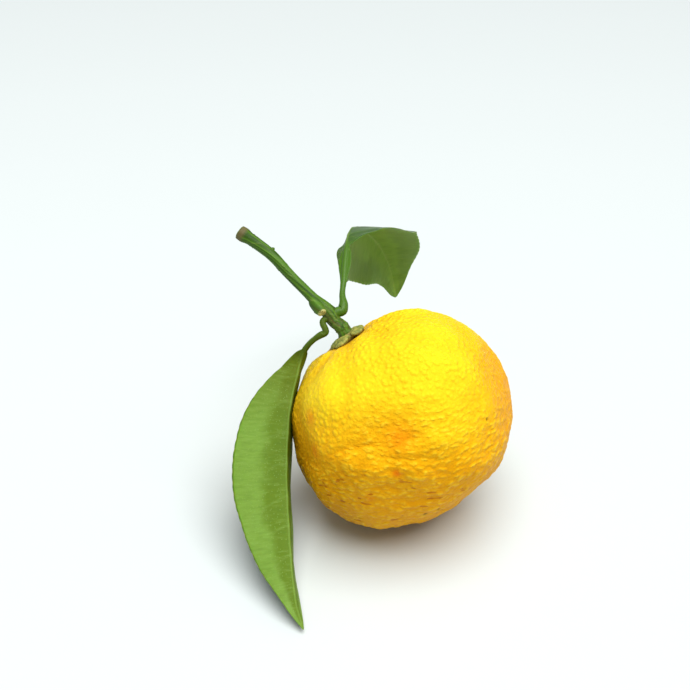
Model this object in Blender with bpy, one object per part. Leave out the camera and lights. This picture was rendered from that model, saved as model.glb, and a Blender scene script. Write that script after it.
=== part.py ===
"""A yuzu as picked: the fruit, its calyx, its clipped twig and the two leaves of that twig.

Metres, +Z up. The fruit lies on its side on a small flat spot under its weight. The origin is
the point of that spot straight under the fruit's centre. Seen from the front, along +Y, the stem
end points up, back and left. Places and sizes are written in millimetres and turned to metres
by MM.
"""
import math

import bmesh
import bpy
import numpy as np
from mathutils import Matrix, Vector, noise

MM = 0.001
NODE_GAP = 0.35

# The fruit's body, in its own frame: +Z runs from the blossom end to the stem end.
EQUATOR_RADIUS = 34.0
POLAR_RADIUS = 30.0
BODY_POWER = 2.2
CENTRE_HEIGHT = 31.5
STEM_BEARING = math.radians(149.7)
STEM_RISE = math.radians(50.3)
FRUIT_CELLS = 24

# Stem end: a dimple with furrows running out of it. Blossom end: a ring and a scar.
STEM_DIMPLE_DEPTH, STEM_DIMPLE_REACH = 2.0, 10.0
FURROW_COUNT, FURROW_DEPTH, FURROW_AT, FURROW_REACH = 9, 0.9, 12.0, 8.0
FURROW_WANDER = 0.8
TIP_DIMPLE_DEPTH, TIP_DIMPLE_REACH = 1.2, 4.0
TIP_RING_HEIGHT, TIP_RING_AT, TIP_RING_REACH = 0.3, 8.0, 2.5
STYLE_SCAR_HEIGHT, STYLE_SCAR_REACH = 0.7, 1.6

# Lumps and hollows of the rind: turn and latitude in degrees, reach and height in mm.
# Turn 0 faces the table, 90 the front left and 180 the sky.
LUMPS = (
    (101, -1, 7.5, 1.2),
    (120, -11, 6.0, 1.1),
    (139, -11, 6.0, 1.0),
    (135, -25, 5.0, 0.8),
    (153, -38, 5.5, 1.0),
    (88, 13, 6.5, 0.8),
    (94, 43, 8.0, 1.1),
    (-157, 44, 8.0, 0.5),
    (62, -4, 7.0, 1.5),
    (74, -32, 7.0, 0.7),
    (0, -50, 13.0, -0.5),
    (-35, -33, 9.0, 0.9),
    (36, -60, 7.0, 0.7),
    (-80, -5, 9.0, 1.0),
    (-127, -18, 8.0, 0.9),
    (13, 15, 9.0, 0.8),
    (125, 10, 6.5, -1.0),
    (108, 13, 5.0, -0.7),
    (117, 2, 4.0, -0.6),
    (148, -7, 4.5, -0.7),
    (165, -5, 6.0, -0.8),
    (76, 19, 5.0, -0.6),
    (104, -15, 5.0, -0.5),
    (58, 24, 9.0, -1.1),
    (44, 42, 8.0, -0.5),
    (60, 13, 6.0, -1.2),
    (68, -22, 4.0, -0.5),
    (87, -47, 6.0, -0.9),
    (-166, -20, 13.0, -1.6),
    (-159, 5, 11.0, -1.3),
    (157, -55, 8.0, -1.5),
    (114, -56, 4.0, -0.8),
    (-118, -48, 8.0, -0.9),
    (-51, -14, 8.0, -0.8),
    (38, -14, 7.0, -0.7),
    (311, 66, 9.0, 0.8),
    (34, 26, 7.0, -0.7),
    (60, -8, 7.0, 0.3),
    (74, -54, 7.0, -0.9),
    (106, -65, 7.0, -0.8),
    (160, -74, 7.0, -1.0),
    (-168, -58, 7.0, 0.3),
    (-154, -42, 7.0, -0.5),
    (-142, -25, 7.0, -0.6),
    (-141, 62, 7.0, 0.7),
    (-100, 69, 7.0, 0.4),
    (-11, 71, 7.0, -0.3),
    (19, 59, 7.0, 0.8),
)

# Finer relief over the whole rind, longer along the parallels than across them.
SWELL_WIDTH, SWELL_HEIGHT = 12.0, 0.8
PEBBLE_WIDTH, PEBBLE_HEIGHT, PEBBLE_STRETCH = 5.0, 0.6, 1.7

# The calyx sits in the dimple: five puffed lobes round a short neck.
LOBE_TURNS = (26, 93, 183, 256, 321)
LOBE_ROUNDNESS = 0.6
LOBE_NOTCH = 0.34
LOBE_LIFT, LOBE_LEVEL = 0.5, 0.6
LOBE_EDGE = 0.7
CALYX_STEPS = 50
CALYX_CLEARANCE = 0.8  # over the furrows, which the rind's faces bridge
NECK_RADIUS, NECK_TOP = 2.0, 31.2
CALYX_TOP_PROFILE = ((0.6, 0.0), (1.7, -0.05), (2.0, -0.5), (2.15, -1.2), (2.9, -1.75),
                     (4.2, -1.35), (5.4, -1.45), (6.1, -2.1))
CALYX_UNDER_PROFILE = (5.9, 4.8, 3.4, 1.7)

# The twig leaves the calyx along the fruit's axis, then runs on to its clipped end.
TWIG_FOOT_RUN = 1.6
TWIG_PATH = ((-19.8, 11.7, 57.7), (-21.8, 13.5, 60.1), (-25.3, 15.4, 62.6), (-29.7, 18.1, 66.0),
             (-34.3, 21.1, 69.7), (-38.7, 24.2, 73.5), (-43.3, 26.8, 76.3), (-48.8, 29.3, 79.1))
TWIG_RADII = ((0.0, 1.9), (0.06, 1.8), (0.13, 1.85), (0.2, 2.05), (0.27, 1.9), (0.35, 1.5),
              (0.5, 1.42), (0.65, 1.5), (0.8, 1.6), (0.92, 1.7), (0.97, 2.15), (1.0, 2.05))
TWIG_SIDES_LEVEL = 3
TWIG_STEPS = 40
SCAR_STUB = (((-27.0, 16.2, 63.8), 0.9), ((-25.7, 14.2, 62.5), 1.6), ((-24.7, 12.6, 61.8), 1.6),
             ((-23.8, 11.2, 61.2), 1.1))
BUD_SCALE = (((-40.7, 25.3, 74.2), 0.9), ((-39.5, 25.3, 74.9), 0.6), ((-38.4, 25.3, 75.6), 0.25))

# The leaves. A spine runs down the stalk and the midrib to the tip. The two halves of the blade
# fold away from the outward normal. Fractions are of the whole spine's length.
BLADE_HALF_THICKNESS = 0.32
MIDRIB_WIDTH, RIB_BELOW = 0.75, 0.6
LEAF_COLUMNS = 7
STALK_STEP = 1.3
TOOTH_SPACING, TOOTH_DEPTH = 3.0, 0.35
TOOTHLESS_END = 1 / 6  # of the blade, at its base and at its tip
WAVE_LAG = 0.9

LEAF_FRONT = {
    "spine": ((-23.7, 11.1, 58.2), (-23.6, 10.6, 57.7), (-23.1, 9.9, 57.0), (-22.8, 9.2, 55.9),
              (-24.4, 9.1, 54.9), (-27.2, 9.0, 52.6), (-29.4, 8.9, 49.5), (-31.8, 4.3, 42.6),
              (-33.6, -2.9, 36.1), (-34.1, -10.4, 30.2), (-34.0, -19.7, 23.4),
              (-33.4, -27.4, 18.4), (-32.6, -35.2, 13.5), (-31.6, -42.9, 9.0),
              (-30.3, -50.1, 4.8), (-28.3, -55.9, 1.4)),
    "blade_from": 0.138,
    "half_width": ((0.0, 1.1), (0.02, 1.05), (0.05, 1.25), (0.08, 0.9), (0.125, 0.95),
                   (0.14, 2.0), (0.16, 3.0), (0.19, 4.9), (0.22, 6.9), (0.31, 11.3),
                   (0.40, 14.4), (0.48, 15.4), (0.60, 14.5), (0.70, 12.6), (0.79, 9.4),
                   (0.86, 6.4), (0.92, 3.7), (0.965, 1.8), (1.0, 0.45)),
    "half_thickness": ((0.0, 1.05), (0.05, 1.15), (0.08, 0.9), (0.14, 0.85), (0.25, 0.75),
                       (0.7, 0.6), (1.0, 0.35)),
    "normal": ((0.0, (0.67, -0.61, 0.41)), (1.0, (0.67, -0.61, 0.41))),
    "fold": ((0.0, 0.0), (0.12, 0.0), (0.2, 46.0), (0.8, 46.0), (1.0, 30.0)),
    "curl": 0.07,
    "wave": (0.35, 3.5),
}

LEAF_BACK = {
    "spine": ((-18.7, 13.9, 60.3), (-18.1, 14.0, 60.4), (-17.6, 15.4, 61.3), (-17.9, 18.8, 63.3),
              (-17.5, 23.3, 66.1), (-17.1, 29.1, 69.4), (-16.5, 35.5, 72.2),
              (-15.5, 44.9, 72.3), (-13.1, 57.2, 68.6), (-9.1, 70.4, 60.6),
              (-4.5, 80.4, 51.0), (-0.4, 86.6, 38.9), (2.2, 88.6, 26.7)),
    "blade_from": 0.23,
    "half_width": ((0.0, 1.2), (0.02, 1.4), (0.05, 1.0), (0.08, 0.85), (0.12, 1.3),
                   (0.17, 2.1), (0.205, 1.8), (0.23, 0.95), (0.25, 3.6), (0.30, 10.0),
                   (0.38, 15.0), (0.47, 17.6), (0.56, 17.8), (0.66, 15.8), (0.76, 12.6),
                   (0.85, 8.6), (0.92, 4.7), (0.97, 1.8), (1.0, 0.45)),
    "half_thickness": ((0.0, 1.2), (0.03, 1.3), (0.08, 0.88), (0.22, 0.8), (0.35, 0.75),
                       (0.7, 0.6), (1.0, 0.35)),
    "normal": ((0.0, (-0.35, -0.75, 0.55)), (0.2, (-0.4, -0.65, 0.6)), (0.3, (-0.6, 0.1, 0.7)),
               (0.5, (-0.58, 0.48, 0.65)), (1.0, (-0.58, 0.6, 0.4))),
    "fold": ((0.0, 0.0), (0.22, 0.0), (0.3, 30.0), (0.5, 38.0), (0.8, 36.0), (1.0, 20.0)),
    "curl": 0.08,
    "wave": (1.0, 2.5),
}

RIND = ("rind", (0.93, 0.60, 0.03), 0.45)
CALYX_GREEN = ("calyx_green", (0.16, 0.20, 0.04), 0.6)
TWIG_BARK = ("green_bark", (0.08, 0.17, 0.03), 0.5)
LEAF_GREEN = ("leaf_green", (0.17, 0.30, 0.04), 0.5)
LEAF_DARK = ("leaf_dark_green", (0.10, 0.19, 0.03), 0.45)


def clear_scene():
    for thing in list(bpy.data.objects):
        bpy.data.objects.remove(thing, do_unlink=True)


def new_collection(name):
    collection = bpy.data.collections.new(name)
    bpy.context.scene.collection.children.link(collection)
    return collection


def material(name, colour, roughness):
    """A plain Principled material; the colour is linear RGB."""
    made = bpy.data.materials.new(name)
    made.use_nodes = True
    shader = made.node_tree.nodes["Principled BSDF"]
    shader.inputs["Base Color"].default_value = (*colour, 1.0)
    shader.inputs["Roughness"].default_value = roughness
    return made


def add_object(collection, name, mesh, finish=None, place=None):
    made = bpy.data.objects.new(name, mesh)
    collection.objects.link(made)
    if finish:
        mesh.materials.append(material(*finish))
    if place:
        made.matrix_world = place
    return made


def mesh_from(name, shape, smooth=True):
    """Turn a bmesh into a mesh with its faces pointing out."""
    bmesh.ops.recalc_face_normals(shape, faces=shape.faces)
    mesh = bpy.data.meshes.new(name)
    shape.to_mesh(mesh)
    shape.free()
    if smooth:
        mesh.shade_smooth()
    return mesh


def hermite(spots, values, slopes, where):
    """A smooth curve through values at rising spots, with the given slopes there."""
    where = np.clip(where, spots[0], spots[-1])
    left = np.clip(np.searchsorted(spots, where, side="right") - 1, 0, len(spots) - 2)
    width = (spots[left + 1] - spots[left])[:, None]
    t = (where - spots[left])[:, None] / width
    near = (1 + 2 * t) * (1 - t) ** 2 * values[left] + t * (1 - t) ** 2 * width * slopes[left]
    far = t * t * (3 - 2 * t) * values[left + 1] + t * t * (t - 1) * width * slopes[left + 1]
    return near + far


def profile(keys, where):
    """Read (position, value) keys smoothly and without overshoot; a value may be a vector."""
    spots = np.array([key[0] for key in keys], float)
    values = np.array([key[1] for key in keys], float).reshape(len(keys), -1)
    rises = np.diff(values, axis=0) / np.diff(spots)[:, None]
    slopes = np.zeros_like(values)
    before, after = rises[:-1], rises[1:]
    same_way = before * after > 0
    slopes[1:-1][same_way] = (2 * before * after)[same_way] / (before + after)[same_way]
    slopes[0], slopes[-1] = rises[0], rises[-1]
    return hermite(spots, values, slopes, where)


def path_through(points, fractions):
    """Places at the given fractions of a smooth path's length, and the path's length."""
    points = np.array(points, float)
    steps = np.linalg.norm(np.diff(points, axis=0), axis=1)
    spots = np.concatenate(([0.0], np.cumsum(steps)))
    slopes = np.gradient(points, spots, axis=0)
    dense = hermite(spots, points, slopes, np.linspace(0.0, spots[-1], 40 * len(points)))
    run = np.concatenate(([0.0], np.cumsum(np.linalg.norm(np.diff(dense, axis=0), axis=1))))
    wanted = np.asarray(fractions) * run[-1]
    return np.stack([np.interp(wanted, run, dense[:, axis]) for axis in range(3)], 1), run[-1]


def unit(vectors):
    return vectors / np.linalg.norm(vectors, axis=-1, keepdims=True)


def bell(distance, reach):
    return np.exp(-((distance / reach) ** 2))


def soft_noise(points, shift):
    """Smooth noise from -1 to 1 at each point, one cell to a unit."""
    return np.array([noise.noise(Vector(point) + Vector((shift, shift, shift))) for point in points])


def rind_radius(directions):
    """Distance in mm from the fruit's centre to its rind, along unit directions."""
    x, y, z = directions.T
    across = np.hypot(x, y)
    radius = (across / EQUATOR_RADIUS) ** BODY_POWER + (np.abs(z) / POLAR_RADIUS) ** BODY_POWER
    radius = radius ** (-1 / BODY_POWER)
    from_stem = np.arccos(np.clip(z, -1.0, 1.0)) * EQUATOR_RADIUS
    from_tip = math.pi * EQUATOR_RADIUS - from_stem
    turn = np.arctan2(y, x)
    furrow = (0.5 + 0.5 * np.cos(FURROW_COUNT * turn + FURROW_WANDER * np.sin(2 * turn))) ** 2
    radius -= STEM_DIMPLE_DEPTH * bell(from_stem, STEM_DIMPLE_REACH)
    radius -= FURROW_DEPTH * furrow * bell(from_stem - FURROW_AT, FURROW_REACH)
    radius -= TIP_DIMPLE_DEPTH * bell(from_tip, TIP_DIMPLE_REACH)
    radius += TIP_RING_HEIGHT * bell(from_tip - TIP_RING_AT, TIP_RING_REACH)
    radius += STYLE_SCAR_HEIGHT * bell(from_tip, STYLE_SCAR_REACH)
    for lump_turn, latitude, reach, height in LUMPS:
        flat = math.cos(math.radians(latitude))
        middle = (flat * math.cos(math.radians(lump_turn)),
                  flat * math.sin(math.radians(lump_turn)), math.sin(math.radians(latitude)))
        away = np.arccos(np.clip(directions @ np.array(middle), -1.0, 1.0)) * EQUATOR_RADIUS
        radius += height * bell(away, reach)
    on_rind = directions * EQUATOR_RADIUS
    calm = 1.0 - bell(from_stem, STEM_DIMPLE_REACH)
    radius += SWELL_HEIGHT * calm * soft_noise(on_rind / SWELL_WIDTH, 7.3)
    pebbles = on_rind * np.array((1.0, 1.0, PEBBLE_STRETCH)) / (PEBBLE_WIDTH * PEBBLE_STRETCH)
    radius += PEBBLE_HEIGHT * calm * soft_noise(pebbles, 3.1)
    return radius


def rind_height(x, y):
    """Height of the rind in the fruit's frame over a place near the stem end, in mm."""
    height = POLAR_RADIUS
    for _ in range(12):
        ray = unit(np.array([[x, y, height]]))
        height = float(rind_radius(ray)[0] * ray[0, 2])
    return height


def fruit_place():
    """The fruit's own frame, tipped so that its stem end points up, back and left."""
    turn = Matrix.Rotation(STEM_BEARING, 4, "Z")
    lean = Matrix.Rotation(math.pi / 2 - STEM_RISE, 4, "Y")
    return Matrix.Translation((0, 0, CENTRE_HEIGHT * MM)) @ turn @ lean


def make_fruit(collection, cutters):
    """A cube blown up to a ball of even cells, then moved out to the rind's formula."""
    shape = bmesh.new()
    bmesh.ops.create_cube(shape, size=2.0)
    bmesh.ops.subdivide_edges(shape, edges=shape.edges, cuts=FRUIT_CELLS - 1, use_grid_fill=True)
    even = np.tan(np.array([vertex.co for vertex in shape.verts]) * math.pi / 4)
    directions = unit(even)
    places = directions * rind_radius(directions)[:, None] * MM
    for vertex, place in zip(shape.verts, places):
        vertex.co = place
    fruit = add_object(collection, "fruit", mesh_from("fruit", shape), RIND, fruit_place())

    below = bmesh.new()
    table = Matrix.Translation((0, 0, -EQUATOR_RADIUS * MM / 2))
    bmesh.ops.create_cube(below, size=EQUATOR_RADIUS * MM, matrix=table)
    cutter = add_object(cutters, "table", mesh_from("table", below, smooth=False))
    cutter.hide_render = True
    cutter.display_type = "WIRE"
    rest = fruit.modifiers.new("flat spot", "BOOLEAN")
    rest.operation = "DIFFERENCE"
    rest.object = cutter
    return fruit


def lobe_shape(turn):
    """1 in the middle of each lobe, 0 in the notch half way to the next."""
    middles = np.array(LOBE_TURNS + (LOBE_TURNS[0] + 360,), float)
    degrees = (math.degrees(turn) - LOBE_TURNS[0]) % 360 + LOBE_TURNS[0]
    phase = np.interp(degrees, middles, np.arange(len(middles)))
    return abs(math.cos(math.pi * phase)) ** LOBE_ROUNDNESS


def make_calyx(collection):
    """A profile spun round the fruit's axis, notched into lobes, with its back on the rind."""
    shape = bmesh.new()
    radii = [radius for radius, _ in CALYX_TOP_PROFILE] + list(CALYX_UNDER_PROFILE)
    rim = len(CALYX_TOP_PROFILE) - 1
    rings = []
    for step in range(CALYX_STEPS):
        turn = 2 * math.pi * step / CALYX_STEPS
        lobe = lobe_shape(turn)
        ring = []
        for index, radius in enumerate(radii):
            outward = np.clip((radius - NECK_RADIUS) / (radii[rim] - NECK_RADIUS), 0.0, 1.0)
            reach = radius * (1.0 - LOBE_NOTCH * outward * (1.0 - lobe))
            x, y = reach * math.cos(turn), reach * math.sin(turn)
            height = rind_height(x, y) + CALYX_CLEARANCE
            if index <= rim:
                top = NECK_TOP + CALYX_TOP_PROFILE[index][1]
                top += LOBE_LIFT * outward * (lobe - LOBE_LEVEL)
                height = max(top, height + LOBE_EDGE)
            ring.append(shape.verts.new((x * MM, y * MM, height * MM)))
        rings.append(ring)
    for ring, following in zip(rings, rings[1:] + rings[:1]):
        for index in range(len(radii) - 1):
            shape.faces.new((ring[index], ring[index + 1], following[index + 1], following[index]))
    for index in (0, len(radii) - 1):
        shape.faces.new([ring[index] for ring in rings])
    return add_object(collection, "calyx", mesh_from("calyx", shape), CALYX_GREEN, fruit_place())


def mesh_of_curve(name, places, radii, sides_level):
    """A round bar along a path, with closed ends, as a bmesh."""
    curve = bpy.data.curves.new(name, "CURVE")
    curve.dimensions = "3D"
    curve.bevel_depth = MM
    curve.bevel_resolution = sides_level
    curve.use_fill_caps = True
    spline = curve.splines.new("POLY")
    spline.points.add(len(places) - 1)
    for point, place, radius in zip(spline.points, places, radii):
        point.co = (*(np.array(place) * MM), 1.0)
        point.radius = float(radius)
    bar = bpy.data.objects.new(name, curve)
    bpy.context.scene.collection.objects.link(bar)
    bpy.context.view_layer.update()
    seen = bar.evaluated_get(bpy.context.evaluated_depsgraph_get())
    mesh = bpy.data.meshes.new_from_object(seen)
    bpy.data.objects.remove(bar, do_unlink=True)
    shape = bmesh.new()
    shape.from_mesh(mesh)
    bmesh.ops.remove_doubles(shape, verts=shape.verts, dist=0.01 * MM)
    return shape


def make_twig(collection, cutters):
    """The twig's bar, with the scar stub and the bud scale joined to its side."""
    fractions = np.linspace(0.0, 1.0, TWIG_STEPS)
    axis = np.array(fruit_place().to_3x3() @ Vector((0, 0, 1)))
    foot = np.array((0, 0, CENTRE_HEIGHT)) + axis * (NECK_TOP + NODE_GAP)
    places, _ = path_through((foot, foot + axis * TWIG_FOOT_RUN) + TWIG_PATH, fractions)
    radii = profile(TWIG_RADII, fractions)[:, 0]
    bar = mesh_from("twig", mesh_of_curve("twig", places, radii, TWIG_SIDES_LEVEL))
    twig = add_object(collection, "twig", bar, TWIG_BARK)
    for name, stations in (("scar_stub", SCAR_STUB), ("bud_scale", BUD_SCALE)):
        shape = mesh_of_curve(name, *zip(*stations), 2)
        part = add_object(cutters, name, mesh_from(name, shape))
        part.hide_render = True
        part.display_type = "WIRE"
        join = twig.modifiers.new(name, "BOOLEAN")
        join.operation = "UNION"
        join.object = part
    return twig


def tooth(distance):
    """The margin's rounded teeth: 0 at a tooth's crown, -1 in the notch between two."""
    return -np.abs(np.cos(math.pi * distance / TOOTH_SPACING)) ** 3


def make_leaf(collection, name, form, finish):
    """A loft from the round stalk to the folded blade, split alike on both faces."""
    _, length = path_through(form["spine"], (0.0, 1.0))
    blade_from = form["blade_from"]
    blade_length = (1.0 - blade_from) * length
    teeth = round(blade_length / TOOTH_SPACING)
    stalk = np.linspace(0.0, blade_from, round(blade_from * length / STALK_STEP), endpoint=False)
    fractions = np.concatenate((stalk, np.linspace(blade_from, 1.0, 2 * teeth + 1)))

    places, _ = path_through(form["spine"], fractions)
    ahead, _ = path_through(form["spine"], np.clip(fractions + 0.004, 0.0, 1.0))
    behind, _ = path_through(form["spine"], np.clip(fractions - 0.004, 0.0, 1.0))
    tangent = unit(ahead - behind)
    normal = profile(form["normal"], fractions)
    normal = unit(normal - tangent * np.sum(normal * tangent, axis=1, keepdims=True))
    across = np.cross(normal, tangent)

    along_blade = np.clip((fractions - blade_from) / (1.0 - blade_from), 0.0, 1.0)
    grown = np.clip(np.minimum(along_blade, 1.0 - along_blade) / TOOTHLESS_END, 0.0, 1.0)
    width = profile(form["half_width"], fractions)[:, 0]
    width = width + TOOTH_DEPTH * grown * tooth(along_blade * blade_length)
    thickness = profile(form["half_thickness"], fractions)[:, 0]
    fold = np.radians(profile(form["fold"], fractions)[:, 0])
    wave_height, wave_count = form["wave"]

    upper, lower = [], []
    for side in np.linspace(-1.0, 1.0, LEAF_COLUMNS):
        hand = np.sign(side)
        out = hand * np.cos(fold)[:, None] * across - np.sin(fold)[:, None] * normal
        phase = 2 * math.pi * wave_count * along_blade + WAVE_LAG * (hand > 0)
        lift = grown * side ** 2 * (wave_height * np.sin(phase) - form["curl"] * width)
        middle = places + out * (width * abs(side))[:, None] + normal * lift[:, None]
        facing = unit(normal + hand * np.tan(fold)[:, None] * across)
        rib = (thickness - BLADE_HALF_THICKNESS) * bell(width * side, MIDRIB_WIDTH)
        upper.append(middle + facing * (BLADE_HALF_THICKNESS + rib)[:, None])
        lower.append(middle - facing * (BLADE_HALF_THICKNESS + RIB_BELOW * rib)[:, None])
    loops = np.stack(upper + lower[::-1], 1) * MM
    return add_object(collection, name, mesh_from(name, loft(loops)), finish)


def loft(loops):
    """Join loops of points into a closed skin; the second half of a loop backs the first."""
    shape = bmesh.new()
    rows = [[shape.verts.new(place) for place in loop] for loop in loops]
    count = len(rows[0])
    half = count // 2
    for row, following in zip(rows, rows[1:]):
        for index in range(count):
            other = (index + 1) % count
            if index < half - 1:
                shape.faces.new((row[index], row[other], following[other]))
                shape.faces.new((row[index], following[other], following[index]))
            else:
                shape.faces.new((row[index], row[other], following[index]))
                shape.faces.new((row[other], following[other], following[index]))
    for row in (rows[0], rows[-1]):
        for index in range(half - 1):
            back = count - 1 - index
            shape.faces.new((row[index], row[index + 1], row[back - 1], row[back]))
    return shape


def main():
    clear_scene()
    parts = new_collection("yuzu")
    cutters = new_collection("cutters")
    make_fruit(parts, cutters)
    make_calyx(parts)
    make_twig(parts, cutters)
    make_leaf(parts, "leaf_front", LEAF_FRONT, LEAF_GREEN)
    make_leaf(parts, "leaf_back", LEAF_BACK, LEAF_DARK)


main()
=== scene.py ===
"""The looks of a yuzu as picked: its pebbled rind, its calyx, its clipped twig and its two leaves.

Places and sizes are in millimetres until a finished mesh is turned to metres by MM. The frame is
the part's: +Z up, the fruit's centre over the origin, and +Y the way one looks from the front.
"""
import math

import bmesh
import bpy
import numpy as np
from mathutils import Matrix, Vector
from mathutils.bvhtree import BVHTree


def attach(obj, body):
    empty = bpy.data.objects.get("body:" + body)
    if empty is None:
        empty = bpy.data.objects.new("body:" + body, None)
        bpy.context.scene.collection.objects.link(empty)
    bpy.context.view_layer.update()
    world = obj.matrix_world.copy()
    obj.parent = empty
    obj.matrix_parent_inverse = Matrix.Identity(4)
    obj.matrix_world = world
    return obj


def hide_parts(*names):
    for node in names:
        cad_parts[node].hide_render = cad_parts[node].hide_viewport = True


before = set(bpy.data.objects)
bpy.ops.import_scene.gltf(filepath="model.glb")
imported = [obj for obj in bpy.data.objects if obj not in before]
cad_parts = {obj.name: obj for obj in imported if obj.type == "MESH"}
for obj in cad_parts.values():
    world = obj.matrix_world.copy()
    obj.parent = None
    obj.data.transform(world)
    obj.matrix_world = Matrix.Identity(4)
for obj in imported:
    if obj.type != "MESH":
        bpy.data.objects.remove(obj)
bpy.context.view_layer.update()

MM = 0.001

# The kinds of node that come up often.
MATH, VECTOR_MATH, RANGE = "ShaderNodeMath", "ShaderNodeVectorMath", "ShaderNodeMapRange"
NOISE, CELLS, MIX = "ShaderNodeTexNoise", "ShaderNodeTexVoronoi", "ShaderNodeMix"
EASED = {"interpolation_type": "SMOOTHSTEP"}

# The fruit as its part has it: its centre's height and its axis, which leans up, back and left.
CENTRE_HEIGHT = 31.5
STEM_BEARING, STEM_RISE = math.radians(149.7), math.radians(50.3)
EQUATOR_RADIUS, POLAR_RADIUS, BODY_POWER = 34.0, 30.0, 2.2
NECK_TOP = 31.2

# The rind: a ball of even cells, and the sizes of what grows on it.
RIND_CELLS = 128
PEBBLE_WIDTH, WRINKLE_WIDTH, WRINKLE_LENGTH, ROLL_LENGTH = 1.4, 1.1, 2.1, 5.5
RIND_SIZES = {"Pebble Width": PEBBLE_WIDTH, "Pebble Height": 0.16, "Wrinkle Height": 0.32,
              "Roll Height": 0.9}
PIT_DEPTH = 0.35
FRONT_WAY, FRONT_UP = (0.0, -0.866, 0.5), (0.0, 0.5, 0.866)  # out of the front face and up it
WRINKLED_BELOW, WRINKLED_FADE = 14.0, 14.0  # heights up the front, over the centre
LEFT_SMOOTHER, LEFT_FROM, LEFT_AT = 14.0, 8.0, 22.0  # how much lower wrinkles start at the left
ROUND_FROM, ROUND_AT = -5.0, 22.0  # how far right or back the wrinkles turn to run round the axis
CALM_FROM, CALM_AT = 5.0, 12.0  # from the stem, over which the relief sets in
DASHES_FROM, DASHES_AT = -9.0, -17.0  # heights up the front between which the brown dashes, painted shade in short creases, set in
LIT_TOP_FROM, LIT_TOP_AT = -14.0, 10.0  # heights up the front between which it is painted lemon yellow, painted light on the lit top
SHADED_RIGHT_FROM, SHADED_RIGHT_AT = 20.0, 33.0  # how far right of the centre it turns orange again, painted shade along the right rim

# Swellings and hollows of the front: how far right and up of the centre, half length, half
# width, tilt in degrees, height. They fade out towards the fruit's edge.
SWELLINGS_AT = 8.0  # how far in front of the centre they have their full height
SWELLING_TINT = 1.5  # how much more a swelling counts than a lump of its height in the rind's painted hollow shade
SWELLINGS = ((-9.6, -11.5, 3.4, 2.6, 10, 0.85), (9.0, -3.6, 7.0, 1.6, 8, 0.5),
             (16.5, -11.0, 5.0, 2.4, 35, 0.6), (-22.0, -8.5, 3.5, 2.6, 20, 0.5),
             (3.0, -12.5, 4.0, 1.7, -15, 0.5), (-22.5, 8.0, 2.8, 6.5, -8, 0.5),
             (0.8, -3.4, 2.2, 1.6, 20, -0.7), (-15.0, -6.2, 6.5, 1.5, 14, -0.9),
             (1.0, -8.6, 7.0, 1.0, 2, -0.6), (-17.0, 6.0, 1.8, 6.0, -10, -0.45),
             (6.0, -20.5, 9.0, 1.3, 4, -0.55), (-9.0, -17.0, 6.0, 1.2, 8, -0.5),
             (-22.5, 20.5, 4.0, 2.5, 35, 1.2))
SMOOTH_SPOT, SMOOTH_SPOT_REACH, SMOOTHED_BY = (-22.0, 10.0), 11.0, 0.7  # the left shoulder

# Marks of the rind as (turn, latitude, reach, strength): orange blushes, small dark pits.
BLUSHES = ((115, -8.5, 1.1, 0.9), (125, 4, 3.6, 0.45), (83, 33, 2.4, 0.5), (80, 17, 2.2, 0.5),
           (95, -14, 1.2, 0.4))
PITS = ((108, -42, 0.6, 1.0), (117, -44, 0.45, 0.7), (167, -14, 0.4, 1.0))

# The calyx: five puffed lobes round the stalk's foot, as (turn about the fruit's axis, size).
LOBES = ((26, 1.0), (93, 1.0), (183, 0.85), (256, 0.95), (321, 1.0))
LOBE_MIDDLE, LOBE_LENGTH, LOBE_WIDTH, LOBE_THICKNESS = 4.1, 2.7, 2.75, 1.1
LOBE_LIFT_IN, LOBE_LIFT_OUT = 1.7, 0.7
CALYX_HUB_RADIUS, CALYX_HUB_HEIGHT = 2.9, 1.9
LOBE_POINT, LOBE_POINT_POWER = 0.42, 1.5  # how far a lobe narrows to its tip
LOBE_THIN, LOBE_FULL = 0.55, 0.45  # shares of its thickness: even all along, and less as it narrows
LOBE_LOW_FROM, LOBE_LOW_AT = 2.0, 6.0  # from the axis, between which it sinks to its low lift
LOBE_CELLS, CALYX_GRAIN, CALYX_SMOOTHING = 14, 0.12, 3
CALYX_SIZES = {"Wrinkle Height": 0.9}
OVER_ALL = 60.0  # from the centre along the axis, clear of the rind

# The twig, from the calyx to its clipped end.
TWIG_FOOT_RUN = 1.6
TWIG_PATH = ((-19.8, 11.7, 57.7), (-21.8, 13.5, 60.1), (-25.3, 15.4, 62.6), (-29.7, 18.1, 66.0),
             (-34.3, 21.1, 69.7), (-38.7, 24.2, 73.5), (-43.3, 26.8, 76.3), (-48.8, 29.3, 79.1))
TWIG_RADII = ((0.0, 2.1), (0.06, 1.9), (0.13, 1.8), (0.2, 2.0), (0.27, 1.85), (0.35, 1.42),
              (0.5, 1.35), (0.65, 1.42), (0.8, 1.52), (0.92, 1.65), (0.97, 2.1), (1.0, 2.0))
TWIG_SUNK = 1.2
TWIG_GRAIN, TWIG_SMOOTHING = 0.17, 4
TWIG_ROWS, TWIG_SIDES, STUB_ROWS, STUB_SIDES = 260, 36, 24, 20
LINE_POINTS, LINE_STRIDE = 500, 4
BARK_SIZES = {"Ridge Height": 0.4, "Lenticel Height": 0.12, "Knob Height": 1.1}
RIDGES_OUT, RIDGE_RUN = 3.2, 6.0  # how fine the bark's grain is round the twig and how long along it
SPOTS_OUT, SPOT_RUN = 1.6, 2.4
BARK_DRIFT = np.array((0.3, 0.2, 0.9))
AGED_FROM, AGED_AT = 0.3, 0.12  # shares of the twig's length
SCAR_STUB = (((-27.0, 16.2, 63.8), 0.9), ((-25.7, 14.2, 62.5), 1.6), ((-24.7, 12.6, 61.8), 1.6),
             ((-23.8, 11.2, 61.2), 1.1))
BUD_SCALE = (((-40.7, 25.3, 74.2), 0.9), ((-39.5, 25.3, 74.9), 0.6), ((-38.4, 25.3, 75.6), 0.25))

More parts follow.
